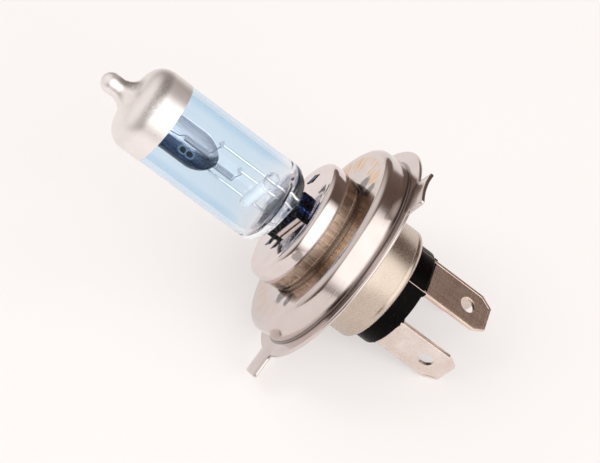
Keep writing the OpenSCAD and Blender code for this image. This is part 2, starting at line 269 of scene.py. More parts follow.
class Look(Graph):
    """A material's node graph. place is the point on the object, in millimetres."""

    def __init__(self, name):
        LOOKS[name] = bpy.data.materials.new(name)
        super().__init__(LOOKS[name])
        self.shader = self.node("ShaderNodeBsdfPrincipled")
        self.node("ShaderNodeOutputMaterial", Surface=self.shader.outputs[0])
        metres = self.node("ShaderNodeTexCoord").outputs["Object"]
        self.place = self.vector("MULTIPLY", metres, (1 / MM, 1 / MM, 1 / MM))
        self.x, self.y, self.z = self.node("ShaderNodeSeparateXYZ", Vector=self.place).outputs

    def set(self, **sockets):
        """Sets the shader's sockets. An underscore stands for a space."""
        for name, value in sockets.items():
            self.put(colour4(value), self.shader.inputs[name.replace("_", " ")])

    def stretched(self, *factors):
        """The place, multiplied along each axis."""
        return self.vector("MULTIPLY", self.place, factors)

    def radius(self):
        """The distance from the bulb's axis."""
        return self.vector("LENGTH", self.stretched(0, 1, 1))

    def outward(self):
        """The direction out from the bulb's axis."""
        return self.vector("NORMALIZE", self.stretched(0, 1, 1))

    def noise(self, scale, detail=3.0, roughness=0.5, distortion=0.0, at=None):
        node = self.node(
            "ShaderNodeTexNoise", Vector=self.place if at is None else at, Scale=scale, Detail=detail,
            Roughness=roughness, Distortion=distortion,
        )
        return node.outputs[0]

    def spots(self, scale):
        """Distance to the nearest of many scattered points."""
        return self.node("ShaderNodeTexVoronoi", Vector=self.place, Scale=scale).outputs["Distance"]

    def bump(self, height, depth, strength=1.0, under=None):
        """Raises the surface by height times depth, in millimetres."""
        node = self.node("ShaderNodeBump", Strength=strength, Distance=depth * MM, Height=height)
        if under is not None:
            self.put(under, node.inputs["Normal"])
        return node.outputs[0]

    def scorch(self, *burns):
        """Ragged dark marks. Each burn is (point, size)."""
        ragged = self.times(self.noise(2.2, 5, 0.7), 1.6)
        marks = 0.0
        for point, size in burns:
            away = self.vector("LENGTH", self.vector("SUBTRACT", self.place, point))
            away = self.math("ADD", self.math("DIVIDE", away, size), ragged)
            marks = self.math("MAXIMUM", marks, self.between(away, 2.1, 1.6))
        return marks

    def streaks_along(self, scale):
        """Fine streaks that run along the bulb's axis."""
        return self.noise(scale, 4, 0.65, at=self.stretched(0.06, 1, 1))

    def turning_marks(self, scale):
        """Fine rings round the bulb's axis, as a lathe or a press leaves them."""
        rings = self.node("ShaderNodeCombineXYZ", X=self.x, Y=self.radius())
        return self.noise(scale, 4, 0.6, at=rings.outputs[0])

    def rays(self, scale):
        """Streaks that run out from the bulb's axis."""
        outward = self.vector("ADD", self.outward(), self.stretched(0, 0.004, 0.004))
        return self.noise(scale, 4, 0.6, at=outward)


# ---- materials

def look_glass():
    """Blue-tinted glass, deeper where it is seen edge on. It clears and is melted towards the base."""
    look = Look("tinted_glass")
    edge = look.node("ShaderNodeLayerWeight", Blend=0.35).outputs["Facing"]
    deep = look.between(edge, 0.22, 0.45)
    tint = look.mix(deep, (0.80, 0.89, 0.958), (0.50, 0.71, 0.88))
    cloud = look.noise(0.2, 2)
    tint = look.mix(look.between(cloud, 0.3, 0.7, 0.0, 0.3), tint, (0.74, 0.86, 0.95))
    colour = look.mix(look.between(look.x, -21.0, -14.0), tint, (0.93, 0.945, 0.965))
    melted = look.between(look.x, ROUNDING_X, TUBE_END_X - 0.6)
    folds = look.noise(0.7, 4, 0.6, 1.4, at=look.stretched(1, 1, 0.4))
    folds = look.ramp(folds, (0.42, 0.0), (0.48, 0.9), (0.58, 0.9), (0.64, 0.1))
    inside = look.between(look.math("ABSOLUTE", look.z), 7.0, 4.4)
    shade = look.times(look.between(look.x, TUBE_END_X - 2.6, TUBE_END_X - 0.9), inside, folds)
    look.set(
        Base_Color=look.mix(shade, colour, (0.10, 0.15, 0.27)), Roughness=0.0,
        IOR=look.between(melted, 0.0, 1.0, 1.3, 1.13),
        Transmission_Weight=look.between(melted, 0.0, 1.0, 1.0, 0.93),
        Specular_Tint=(0.75, 0.87, 1.0), Normal=look.bump(look.streaks_along(0.9), 0.006, 0.2),
    )


def look_quartz():
    """Quartz that is white and frosted in its middle, where the wires are sealed, and clear at its ends."""
    look = Look("clear_quartz")
    cloud = look.noise(0.8, 4, 0.6)
    out = look.math("ABSOLUTE", look.math("SUBTRACT", look.z, middle("quartz_bridge").z - 0.4))
    frost = look.between(look.math("SUBTRACT", out, look.times(cloud, 1.6)), 3.2, 0.8)
    look.set(
        Base_Color=look.mix(cloud, (1.0, 0.985, 0.98), (0.93, 0.93, 0.95)),
        Roughness=look.between(frost, 0.0, 1.0, 0.02, 0.5), IOR=1.3,
        Transmission_Weight=look.between(frost, 0.0, 1.0, 0.97, 0.2), Normal=look.bump(cloud, 0.05, 0.3),
    )


def look_coating():
    """The satin metal paint of the tip, grainy. Its darker patches on the shoulder's upper side and on the
    neck's top are painted shade, standing for the dark room that these curves reflect.
    """
    look = Look("tip_coating")
    grain = look.noise(3.0, 5, 0.75)
    cloud = look.noise(0.45, 3)
    back = look.math("SUBTRACT", look.x, TIP_X)
    # painted shade: shoulder and neck below pick the sides that face up and darken them, as the dark room
    # reflected there
    upper = look.vector("DOT_PRODUCT", look.outward(), around(0, 1, 20))
    shoulder = look.times(look.between(back, 6.8, 8.2), look.between(back, 9.8, 8.6))
    shoulder = look.times(shoulder, look.between(upper, 0.6, 1.0, 0.1, 1.0))
    top = look.vector("DOT_PRODUCT", look.outward(), around(0, 1, -12))
    neck = look.times(look.between(back, 6.1, 4.8), look.between(back, 1.5, 3.2))
    neck = look.times(neck, look.between(top, 0.75, 1.0))
    dark = look.times(look.math("MAXIMUM", shoulder, neck), look.between(grain, 0.34, 0.60, 0.5, 1.0), 0.7)
    base = look.mix(cloud, (0.81, 0.765, 0.75), (0.91, 0.87, 0.855))
    look.set(
        Base_Color=look.mix(dark, base, (0.20, 0.18, 0.175)), Metallic=0.72,
        Roughness=look.between(grain, 0.3, 0.75, 0.27, 0.44), Normal=look.bump(grain, 0.02, 0.5),
    )


def look_tungsten():
    """Dull grey wire with a fine grain."""
    look = Look("tungsten")
    grain = look.noise(9, 3)
    look.set(
        Base_Color=look.mix(grain, (0.26, 0.26, 0.32), (0.52, 0.52, 0.60)), Metallic=1.0,
        Roughness=look.between(grain, 0.3, 0.7, 0.28, 0.5), Normal=look.bump(grain, 0.01, 0.5),
    )


def look_molybdenum():
    """The shield's metal, with painted light and shade: its wall away from -Y is painted bright as if lit,
    and the rest dark steel blue as its shade. Each weld dimple has a paler ring, a dark ring and a painted
    glint at its middle.
    """
    look = Look("molybdenum")
    cloud = look.noise(0.45, 3, 0.5)
    side = look.vector("DOT_PRODUCT", look.place, (0, math.cos(SHIELD_ROLL), math.sin(SHIELD_ROLL)))
    side = look.math("ADD", side, look.times(cloud, 0.5))
    # painted light and shade: heat here is 0 on the wall painted bright as if lit, and 1 on the rest, painted
    # dark as shade
    heat = look.between(side, 1.75, 0.85)
    grain = look.streaks_along(3)
    bright = look.mix(cloud, (0.82, 0.82, 0.92), (0.97, 0.96, 1.0))
    blue = look.ramp(
        look.between(side, -3.5, 1.4),
        (0.0, (0.012, 0.02, 0.045)), (0.55, (0.025, 0.045, 0.09)), (1.0, (0.075, 0.115, 0.19)),
    )
    for weld_x in WELDS_X:
        weld = look.vector("SUBTRACT", look.place, shield_point(weld_x, SHIELD_R - 0.3, 0))
        away = look.vector("LENGTH", weld)
        blue = look.mix(look.between(away, 1.15, 0.8), blue, (0.20, 0.27, 0.36))
        blue = look.mix(look.between(away, 0.66, 0.54), blue, (0.006, 0.009, 0.018))
        # painted glint: the middle of each weld dimple takes the bright colour
        heat = look.times(heat, look.between(away, 0.20, 0.26))
    look.set(
        Base_Color=look.mix(heat, bright, blue), Metallic=look.between(heat, 0.0, 1.0, 0.25, 1.0),
        Roughness=look.between(grain, 0.3, 0.7, 0.16, 0.32), Normal=look.bump(grain, 0.01, 0.3),
    )


def look_wire():
    """Bright drawn nickel wire and foil."""
    look = Look("lead_wire")
    grain = look.streaks_along(6)
    look.set(
        Base_Color=look.mix(grain, (0.66, 0.66, 0.69), (0.93, 0.92, 0.93)), Metallic=1.0,
        Roughness=look.between(grain, 0.3, 0.7, 0.16, 0.34), Normal=look.bump(grain, 0.01, 0.4),
    )


def look_bright_steel():
    """The pressed steel of the cap and clip, nearly a mirror, with faint press rings and a weld mark."""
    look = Look("bright_steel")
    rings = look.turning_marks(3.5)
    cloud = look.noise(0.35, 3)
    specks = look.times(look.between(look.spots(0.9), 0.10, 0.04), 0.5)
    weld = look.times(look.scorch((around(CAP_FACE_X + 1.9, CAP_R, 67), 0.9)), 0.7)
    base = look.mix(cloud, (0.68, 0.60, 0.58), (0.79, 0.715, 0.70))
    look.set(
        Base_Color=look.mix(look.math("MAXIMUM", specks, weld), base, (0.22, 0.19, 0.175)), Metallic=1.0,
        Roughness=look.between(look.math("ADD", rings, cloud), 0.7, 1.3, 0.06, 0.16),
        Normal=look.bump(rings, 0.006, 0.25),
    )


def look_painted_dark_steel():
    """Dented spring steel painted near black, as the shade and dark reflections on the clip, with patches of
    strong blue.
    """
    look = Look("blued_steel")
    patch = look.noise(0.55, 3, 0.55, 0.8)
    grain = look.noise(6, 4, 0.6)
    dents = look.noise(1.1, 2, 0.5)
    # painted shade: the near-black stands for the dark that the clip reflects and for its shade
    colour = look.ramp(
        patch, (0.53, (0.010, 0.009, 0.011)), (0.59, (0.015, 0.03, 0.13)), (0.68, (0.07, 0.18, 0.62)),
    )
    look.set(
        Base_Color=colour, Metallic=0.9, Roughness=look.between(grain, 0.3, 0.7, 0.16, 0.34),
        Normal=look.bump(dents, 0.9, 0.7, look.bump(grain, 0.01, 0.4)),
    )


def look_heat_tinted_steel():
    """The focus sleeve: steel browned by its welds, with fine lines along the axis, stains and burns."""
    look = Look("heat_tinted_steel")
    lines = look.streaks_along(7)
    wide = look.streaks_along(1.6)
    stain = look.noise(0.55, 4, 0.6, 1.2)
    base = look.mix(look.between(wide, 0.35, 0.7), (0.36, 0.26, 0.20), (0.60, 0.475, 0.385))
    marked = look.mix(look.between(stain, 0.56, 0.66, 0.0, 0.7), base, (0.20, 0.13, 0.085))
    burns = [(around(SLEEVE_REAR_X, SLEEVE_R, a), 1.6) for a in (-29, 113)]
    burns += [(around(SLEEVE_FRONT_X + 0.6, SLEEVE_R, a), 0.5) for a in (37, 44, 57)]
    marked = look.mix(look.times(look.scorch(*burns), 0.85), marked, (0.05, 0.03, 0.022))
    worn = look.between(lines, 0.45, 0.8, 0.0, 0.45)
    look.set(
        Base_Color=look.mix(worn, marked, (0.74, 0.62, 0.51)), Metallic=1.0,
        Roughness=look.between(lines, 0.3, 0.75, 0.24, 0.4), Normal=look.bump(lines, 0.012, 0.35),
    )


def look_ring_steel():
    """Polished pressed steel. Its face has straw heat rays and burns, and its inner corner is darkened with
    painted shade.
    """
    look = Look("ring_steel")
    radius = look.radius()
    face = look.between(look.x, PILOT_X + 0.7, PILOT_X + 0.15)
    band = look.times(look.between(radius, 13.2, 14.2), look.between(radius, 17.2, 16.2))
    height = look.math("ADD", look.z, look.times(look.y, 0.35))
    upper = look.between(height, -8.0, 8.0, 0.3, 1.0)
    patchy = look.between(look.noise(0.35, 3, 0.6), 0.36, 0.5)
    heat = look.times(look.between(look.rays(22), 0.47, 0.56), band, upper, face, patchy)
    marks = look.turning_marks(2.6)
    drawn = look.streaks_along(1.4)
    base = look.mix(look.noise(0.22, 3), (0.60, 0.525, 0.505), (0.73, 0.66, 0.64))
    colour = look.mix(heat, base, (0.72, 0.40, 0.13))
    burns = [(around(PILOT_X, 12.2, -28), 1.7), (around(PILOT_X, 14.4, -9), 1.3)]
    burns += [(around(PILOT_X, 12.2, 113), 1.7), (around(PILOT_X, 14.6, 96), 1.1)]
    # painted shade: the inner corner between the pilot wall and the flange is darkened
    corner = look.between(radius, PILOT_R + 0.5, PILOT_R + 0.2)
    corner = look.times(corner, look.between(look.x, -0.75, -0.2), 0.7)
    burns_and_corner_shade = look.math("MAXIMUM", look.times(look.scorch(*burns), 0.9), corner)
    rough = look.between(marks, 0.3, 0.75, 0.10, 0.22)
    rough = look.math("ADD", rough, look.between(drawn, 0.5, 0.75, 0.0, 0.08))
    look.set(
        Base_Color=look.mix(burns_and_corner_shade, colour, (0.07, 0.05, 0.045)), Metallic=1.0, Roughness=rough,
        Normal=look.bump(marks, 0.010, 0.3, look.bump(drawn, 0.012, 0.2)),
    )


def look_satin_nickel():
    """The shell's warm satin plating. A fine grain breaks up its highlight, and it is painted dark as shade
    in the gap at the sleeve.
    """
    look = Look("satin_nickel")
    grain = look.noise(4.5, 6, 0.75)
    base = look.mix(look.noise(0.3, 3), (0.46, 0.37, 0.30), (0.60, 0.505, 0.43))
    base = look.mix(look.between(grain, 0.35, 0.7, 0.0, 0.5), base, (0.78, 0.70, 0.62))
    # painted shade: the shell darkens in the unlit gap between the sleeve and the ring's face
    gap_shade = look.between(look.x, PILOT_X + 0.6, PILOT_X, 0.0, 0.8)
    look.set(
        Base_Color=look.mix(gap_shade, base, (0.26, 0.18, 0.13)), Metallic=1.0,
        Roughness=look.between(grain, 0.3, 0.7, 0.22, 0.36), Normal=look.bump(grain, 0.012, 0.5),
    )


def look_black_insulator():
    """Black phenolic with pale specks and a faint moulded unevenness."""
    look = Look("black_insulator")
    dust = look.times(look.between(look.spots(2.2), 0.1, 0.04), 0.25)
    uneven = look.noise(1.6, 4, 0.6)
    look.set(
        Base_Color=look.mix(dust, (0.002, 0.0015, 0.0015), (0.34, 0.32, 0.31)),
        Roughness=look.between(uneven, 0.3, 0.7, 0.24, 0.4), Specular_IOR_Level=0.035,
        Normal=look.bump(uneven, 0.04, 0.4),
    )


def look_terminal(name, dark, light, scratch, stain):
    """Rolled brass-plated steel strip with scratches across it and faint stains."""
    look = Look(name)
    rolled = look.noise(1.6, 3, 0.5, at=look.stretched(0.08, 1.0, 1.0))
    across = look.noise(2.6, 4, 0.6, 0.4, at=look.stretched(1.0, 0.12, 0.12))
    base = look.mix(look.between(look.noise(0.28, 4, 0.6), 0.3, 0.7), dark, light)
    scored = look.mix(look.between(across, 0.62, 0.78, 0.0, 0.3), base, scratch)
    spots = look.between(look.spots(0.55), 0.12, 0.04, 0.0, 0.35)
    look.set(
        Base_Color=look.mix(spots, scored, stain), Metallic=0.95,
        Roughness=look.between(look.math("ADD", rolled, across), 0.7, 1.35, 0.25, 0.33),
        Normal=look.bump(rolled, 0.003, 0.3, look.bump(across, 0.003, 0.3)),
    )


for make_look in (
    look_glass, look_quartz, look_coating, look_tungsten, look_molybdenum, look_wire, look_bright_steel,
    look_painted_dark_steel, look_heat_tinted_steel, look_ring_steel, look_satin_nickel, look_black_insulator,
):
    make_look()
look_terminal(
    "dark_terminal", dark=(0.78, 0.61, 0.52), light=(0.90, 0.75, 0.65),
    scratch=(0.97, 0.91, 0.84), stain=(0.42, 0.31, 0.25),
)
look_terminal(
    "plain_terminal", dark=(0.76, 0.65, 0.59), light=(0.86, 0.77, 0.72),
    scratch=(0.96, 0.92, 0.89), stain=(0.46, 0.35, 0.28),
)


# ---- shapes

def arc(cx, cr, radius, start, end, steps):
    """Points of a round corner about (cx, cr), with angles in degrees from the first axis to the second."""
    return [
        (cx + radius * math.cos(math.radians(start + (end - start) * i / steps)),
         cr + radius * math.sin(math.radians(start + (end - start) * i / steps)))
        for i in range(steps + 1)
    ]


def cubic(p, q, r, s, steps):
    """Points of a cubic curve with end points p and s and handles q and r."""
    p, q, r, s = (Vector(v) for v in (p, q, r, s))
    points = []
    for i in range(steps + 1):
        t = i / steps
        points.append((1 - t) ** 3 * p + 3 * (1 - t) ** 2 * t * q + 3 * (1 - t) * t * t * r + t ** 3 * s)
    return points


def smooth(value, start, end):
    """0 before start and 1 after end, with a smooth run between."""
    t = min(max((value - start) / (end - start), 0), 1)
    return t * t * (3 - 2 * t)


def turned(degrees):
    """A turn about the bulb's axis."""
    return Matrix.Rotation(math.radians(degrees), 3, "X")


def skin(rings, closed=False):
    """Vertices and faces that join rings of equally many points. Unless closed, both ends are capped."""
    count = len(rings[0])
    vertices = [point for ring in rings for point in ring]
    faces = []
    for i in range(len(rings) if closed else len(rings) - 1):
        a = i * count
        b = (i + 1) % len(rings) * count
        for k in range(count):
            m = (k + 1) % count
            faces.append((a + k, b + k, b + m, a + m))
    if not closed:
        faces.append(tuple(range(count)))
        faces.append(tuple(range((len(rings) - 1) * count, len(rings) * count)))
    return vertices, faces


def circle_ring(x, r, segments):
    """A circle round the bulb's axis, never quite a point."""
    r = max(r, 0.002)
    turns = [2 * math.pi * k / segments for k in range(segments)]
    return [(x, r * math.sin(a), r * math.cos(a)) for a in turns]


def flat_ring(x, half_y, half_z, power, segments):
    """A rectangle with rounded corners round the bulb's axis. A higher power makes its corners sharper."""
    ring = []
    for k in range(segments):
        s, c = math.sin(2 * math.pi * k / segments), math.cos(2 * math.pi * k / segments)
        r = ((abs(s) / half_y) ** power + (abs(c) / half_z) ** power) ** (-1 / power)
        ring.append((x, r * s, r * c))
    return ring


def lathe(profile, segments=160, closed=False):
    """Turns (x, r) points about the bulb's axis. A closed profile makes a hollow body."""
    return skin([circle_ring(x, r, segments) for x, r in profile], closed)


def tube(path, radius, sides=12):
    """A round wire along a path with rounded ends."""
    path = [Vector(p) for p in path]
    turns = [2 * math.pi * k / sides for k in range(sides)]
    rings = []
    side = None
    for i, point in enumerate(path):
        ahead = (path[min(i + 1, len(path) - 1)] - path[max(i - 1, 0)]).normalized()
        side = ahead.orthogonal() if side is None else side - ahead * side.dot(ahead)
        side.normalize()
        other = ahead.cross(side)
        for past, shrink in end_steps(i, len(path)):
            centre = point + ahead * (past * radius)
            r = radius * shrink
            rings.append([centre + side * (r * math.cos(a)) + other * (r * math.sin(a)) for a in turns])
    return skin(rings)


def end_steps(i, count):
    """How a wire's end rounds off: pairs of an offset along it and a width, as shares of its radius."""
    if i == 0:
        return [(-0.3, 0.55), (-0.12, 0.9), (0.0, 1.0)]
    if i == count - 1:
        return [(0.0, 1.0), (0.12, 0.9), (0.3, 0.55)]
    return [(0.0, 1.0)]


def rounded(half_w, half_h, corner, steps=6):
    """A rectangle's outline with round corners, as (u, v) points."""
    points = []
    u, v = half_w - corner, half_h - corner
    for cu, cv, start in ((u, v, 0), (-u, v, 90), (-u, -v, 180), (u, -v, 270)):
        points += arc(cu, cv, corner, start, start + 90, steps)
    return points


def fill_mesh(mesh, shells):
    """Fills a mesh with shells in millimetres. A shell is (vertices, faces) or (vertices, faces, "inner")."""
    bm = bmesh.new()
    for vertices, faces, *inner in shells:
        points = [bm.verts.new(Vector(v) * MM) for v in vertices]
        made = [bm.faces.new([points[i] for i in face]) for face in faces]
        bmesh.ops.recalc_face_normals(bm, faces=made)
        if inner:
            bmesh.ops.reverse_faces(bm, faces=made)
    bm.to_mesh(mesh)
    bm.free()


def make(name, shells, slot, node, crease=32):
    """A piece of the bulb that stands for a CAD node and rides on its one body."""
    mesh = bpy.data.meshes.new(name)
    fill_mesh(mesh, shells)
    mesh.shade_smooth()
    mesh.set_sharp_from_angle(angle=math.radians(crease))
    piece = new_object(name, mesh)
    mesh.materials.append(LOOKS[slot])
    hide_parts(node)
    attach(piece, "root")
    return piece


# ---- glass and coating

NECK_R = 1.75


def dome():
    """Outline of the glass from the full tube to the end of the solid tip, as (x, r)."""
    full = (TIP_X + 9.7, GLASS_R)
    shoulder = (TIP_X + 5.95, 4.6)
    neck = (TIP_X + 3.3, NECK_R)
    outline = cubic(full, (TIP_X + 7.6, GLASS_R), (TIP_X + 6.3, 6.5), shoulder, 22)
    outline += cubic(shoulder, (TIP_X + 5.65, 3.0), (TIP_X + 4.9, 2.1), neck, 14)[1:]
    return outline + arc(TIP_X + NECK_R, 0, NECK_R, 90, 180, 12)


GLASS_SIDES = 96


def pinch_ring(x, blend):
    """The glass's outline at x: round where blend is 0, the flat pinch where it is 1."""
    disc = circle_ring(x, GLASS_R, GLASS_SIDES)
    flat = flat_ring(x, PINCH_HALF_T, PINCH_HALF_W, 7, GLASS_SIDES)
    return [Vector(p).lerp(Vector(q), blend) for p, q in zip(disc, flat)]


def cavity():
    """Outline of the space inside the tube, from its floor at the pinch to its end in the dome."""
    floor, end = TUBE_FLOOR_X, TIP_X + 7.1
    outline = [(floor, 0)]
    outline += cubic((floor, 4.0), (floor, 5.6), (floor - 0.7, GLASS_IN_R), (floor - 2.6, GLASS_IN_R), 14)
    outline += cubic((end + 2.8, GLASS_IN_R), (end + 1.0, GLASS_IN_R), (end, 5.0), (end, 3.4), 14)
    return outline + [(end, 0)]


def make_glass():
    """The tube with its solid tip and flat pinch, hollow between the dome and the pinch."""
    rings = [circle_ring(x, r, GLASS_SIDES) for x, r in reversed(dome())]
    for i in range(15):
        turn = math.radians(90 * i / 14)
        rings.append(pinch_ring(ROUNDING_X + (TUBE_END_X - ROUNDING_X) * math.sin(turn), 1 - math.cos(turn)))
    rings.append(pinch_ring(PINCH_END_X - 0.25, 1))
    rings.append([(PINCH_END_X, p.y * 0.93, p.z * 0.96) for p in rings[-1]])
    shells = [skin(rings), (*lathe(cavity(), GLASS_SIDES), "inner")]
    piece = make("glass_tube", shells, "tinted_glass", "glass_envelope")
    piece.visible_shadow = False


def make_coating():
    """A thin cap of metal paint over the dome."""
    outline = [(COATING_EDGE_X, GLASS_R)] + dome()
    gap, thick = 0.012, 0.06
    outer, inner = [], []
    for i, point in enumerate(outline[:-1]):
        a, b = Vector(outline[max(i - 1, 0)]), Vector(outline[i + 1])
        away = Vector((b.y - a.y, a.x - b.x)).normalized()
        outer.append(Vector(point) + away * thick)
        inner.append(Vector(point) + away * gap)
    make("tip_paint", [lathe(outer[::-1] + inner, 128)], "tip_coating", "tip_coating", crease=50)


# ---- filaments and their mount

SHIELD_FRONT_X = low("shield_cup").x
SHIELD_BOW_X = SHIELD_FRONT_X + 7.0
SHIELD_REAR_X = high("shield_cup").x
COIL_WIRE_R = 0.09


def coil(x0, x1, z, r, turns):
    """Centre line of a coil about a line parallel to the axis."""
    steps = 22
    points = []
    for i in range(turns * steps + 1):
        turn = 2 * math.pi * i / steps
        points.append((x0 + (x1 - x0) * i / (turns * steps), r * math.sin(turn), z + r * math.cos(turn)))
    return points


def make_low_filament():
    x0, x1, z, r = -33.7, -28.9, 0.15, 0.485
    path = [(x0 - 3.0, 0, z - 0.9), (x0 - 0.9, 0, z - 0.5), (x0 - 0.35, 0, z + r - 0.15)]
    path += coil(x0, x1, z, r, 14)
    wire = LOW_WIRE_Z - WIRE_R
    path += [(x1 + 0.25, 0, z + r + 0.5), (x1 + 0.45, 0, wire - 1.14), (x1 + 0.55, 0, wire)]
    make("low_coil", [tube(path, COIL_WIRE_R, 8)], "tungsten", "low_beam_filament", crease=80)


def make_high_filament():
    x0, x1, z, r = -26.9, -22.7, -0.95, 0.56
    path = [(x0 - 0.75, 0.35, COMMON_WIRE_Z - 0.1), (x0 - 0.5, 0.1, z - 0.9), (x0 - 0.2, 0, z + r - 0.2)]
    path += coil(x0, x1, z, r, 11)
    wire = HIGH_WIRE_Z - WIRE_R
    path += [(x1 + 0.2, 0, z + r + 0.4), (x1 + 0.35, 0, wire - 0.44), (x1 + 0.4, 0, wire)]
    make("high_coil", [tube(path, COIL_WIRE_R, 8)], "tungsten", "high_beam_filament", crease=80)


def weld_depth(x, r, angle):
    """How far the two weld dimples on the keel push the sheet in."""
    depth = 0.0
    for weld_x in WELDS_X:
        away = math.hypot(x - weld_x, r * angle) / 0.5
        depth += 0.36 * math.exp(-away ** 4)
    return depth


def shield_stations():
    """The shield's places along the axis and its radius there: front wall, straight run and bowed rear."""
    corner = 1.0
    stations = [(SHIELD_FRONT_X, 0.35), (SHIELD_FRONT_X, SHIELD_R - corner)]
    stations += arc(SHIELD_FRONT_X + corner, SHIELD_R - corner, corner, 180, 90, 6)[1:]
    straight = [SHIELD_FRONT_X + corner + 0.1 * i for i in range(1, 60)]
    stations += [(x, SHIELD_R) for x in straight if x < SHIELD_BOW_X]
    for i in range(24):
        turn = math.radians(90 * i / 24)
        x = SHIELD_BOW_X + (SHIELD_REAR_X - SHIELD_BOW_X) * math.sin(turn)
        stations.append((x, SHIELD_R * math.cos(turn)))
    return stations


def make_shield():
    """An open trough with a rim a little above its middle and two weld dimples on its keel."""
    rim = 0.3
    across = 64
    outer, inner = [], []
    for x, r in shield_stations():
        widest = math.pi / 2 + math.asin(min(rim / r, 0.9))
        for row, inset in ((outer, 0.0), (inner, 0.22)):
            ring = []
            for k in range(across + 1):
                angle = widest * (2 * k / across - 1)
                depth = inset + weld_depth(x, r, angle)
                ring.append(shield_point(x, max(r - depth, 0.05), angle))
            row.append(ring)
    make("shield", [sheet_between(outer, inner)], "molybdenum", "shield_cup", crease=50)


def sheet_between(outer, inner):
    """A closed sheet between two grids of points with the same shape."""
    rows, columns = len(outer), len(outer[0])
    vertices = [p for row in outer for p in row] + [p for row in inner for p in row]
    offset = rows * columns
    faces = []
    for i in range(rows - 1):
        for k in range(columns - 1):
            a = i * columns + k
            faces.append((a, a + 1, a + columns + 1, a + columns))
            b = a + offset
            faces.append((b, b + columns, b + columns + 1, b + 1))
    edge = list(range(columns))
    edge += [i * columns + columns - 1 for i in range(1, rows)]
    edge += [(rows - 1) * columns + k for k in range(columns - 2, -1, -1)]
    edge += [i * columns for i in range(rows - 2, 0, -1)]
    for i, a in enumerate(edge):
        b = edge[(i + 1) % len(edge)]
        faces.append((a, b, b + offset, a + offset))
    return vertices, faces


def wire_tab(x, z):
    """The small cross piece at a support wire's tip, which holds a coil's leg."""
    return tube([(x, -0.62, z), (x, 0.62, z)], 0.24, 12)


def make_wires():
    """The two straight wires that hold the coils, each with its tab."""
    for name, node, tip_x, z in (
        ("upper_wire", "support_wire_low", LOW_TIP_X, LOW_WIRE_Z),
        ("middle_wire", "support_wire_high", HIGH_TIP_X, HIGH_WIRE_Z),
    ):
        straight = [(tip_x + (FOIL_FRONT_X - tip_x) * i / 12, 0, z) for i in range(13)]
        make(name, [tube(straight, WIRE_R, 20), wire_tab(tip_x + 0.45, z)], "lead_wire", node, crease=60)


def make_common_wire():
    """The wire that is welded along the shield's keel and crosses over to its own line to the pinch."""
    weld_x, leave_x, join_x = -33.4, -30.4, -22.5
    reach = SHIELD_R + WIRE_R + 0.02

    def keel(x):
        return shield_point(x, reach, 0)

    def on_line(x):
        return (x, 0, COMMON_WIRE_Z)

    path = [keel(weld_x)]
    path += cubic(keel(leave_x), keel(leave_x + 2.8), on_line(join_x - 2.9), on_line(join_x), 24)
    path += [on_line(join_x + (FOIL_FRONT_X - join_x) * i / 8) for i in range(1, 9)]
    make("common_wire", [tube(path, WIRE_R, 20)], "lead_wire", "support_wire_common", crease=60)


def make_bridge():
    """A quartz rod that seals the three wires together, with melted round ends."""
    bottom, top = low("quartz_bridge").z, high("quartz_bridge").z
    rings = []
    sides = steps = 40
    for i in range(steps + 1):
        t = i / steps
        z = bottom + (top - bottom) * t
        end = min(t, 1 - t) * (top - bottom)
        cap = math.sqrt(max(1 - (1 - min(end / BRIDGE_R, 1)) ** 2, 0.0004))
        swell = sum(0.06 * math.exp(-((z - w) / 0.7) ** 2) for w in (LOW_WIRE_Z, HIGH_WIRE_Z, COMMON_WIRE_Z))
        swell += 0.12 * smooth(z, top - 2.4, top - 1.2)
        r = BRIDGE_R * cap * (0.94 + swell)
        turns = [2 * math.pi * k / sides for k in range(sides)]
        rings.append([(BRIDGE_X + r * math.cos(a), r * math.sin(a), z) for a in turns])
    rod = make("bridge_rod", [skin(rings)], "clear_quartz", "quartz_bridge", crease=60)
    rod.visible_shadow = False


# ---- foils and leads

FOIL_Z = {"low": LOW_WIRE_Z - 0.35, "high": HIGH_WIRE_Z - 0.55, "common": COMMON_WIRE_Z}
LEAD_R = 0.35
LEAD_ROOT_X = 5.4


def make_foil(name, z):
    """A thin ribbon with feathered edges, as foil sealed in a pinch has."""
    half, thick = 0.8, 0.04
    across = [k / 6 - 1 for k in range(13)]
    upper, lower = [], []
    for i in range(25):
        x = FOIL_FRONT_X + (FOIL_REAR_X - FOIL_FRONT_X) * i / 24
        wave = 0.012 * math.sin(i * 1.3)
        for row, face in ((upper, thick), (lower, -thick)):
            row.append([(x, wave + face * (1 - 0.9 * u * u), z + half * u) for u in across])
    make(f"{name}_ribbon", [sheet_between(upper, lower)], "lead_wire", f"foil_{name}", crease=40)


def make_lead(name, z, root):
    """A lead from its foil to the root of its blade."""
    bend = Vector((PINCH_END_X + 0.7, 0, z))
    root = Vector(root)
    reach = Vector((2.6, 0, 0))
    path = [(FOIL_REAR_X, 0, z)] + cubic(bend, bend + reach, root - reach, root, 20)
    weld = [(FOIL_REAR_X - 0.05, 0, z), (FOIL_REAR_X + 0.9, 0, z)]
    shells = [tube(path, LEAD_R, 16), tube(weld, LEAD_R + 0.05, 16)]
    make(f"{name}_lead", shells, "lead_wire", f"outer_lead_{name}", crease=60)


def make_pinch_metal():
    """The foils in the pinch and the leads from them to the inner sides of the blades."""
    inside = BLADE_T + LEAD_R + 0.02
    top, side = TOP_OUT - inside, SIDE_OUT - inside
    roots = {"low": (LEAD_ROOT_X, 0, top), "high": (LEAD_ROOT_X, side, 0), "common": (LEAD_ROOT_X, -side, 0)}
    for name, z in FOIL_Z.items():
        make_foil(name, z)
        make_lead(name, z, roots[name])


# ---- clip and cap

CLIP_SHEET = 0.3


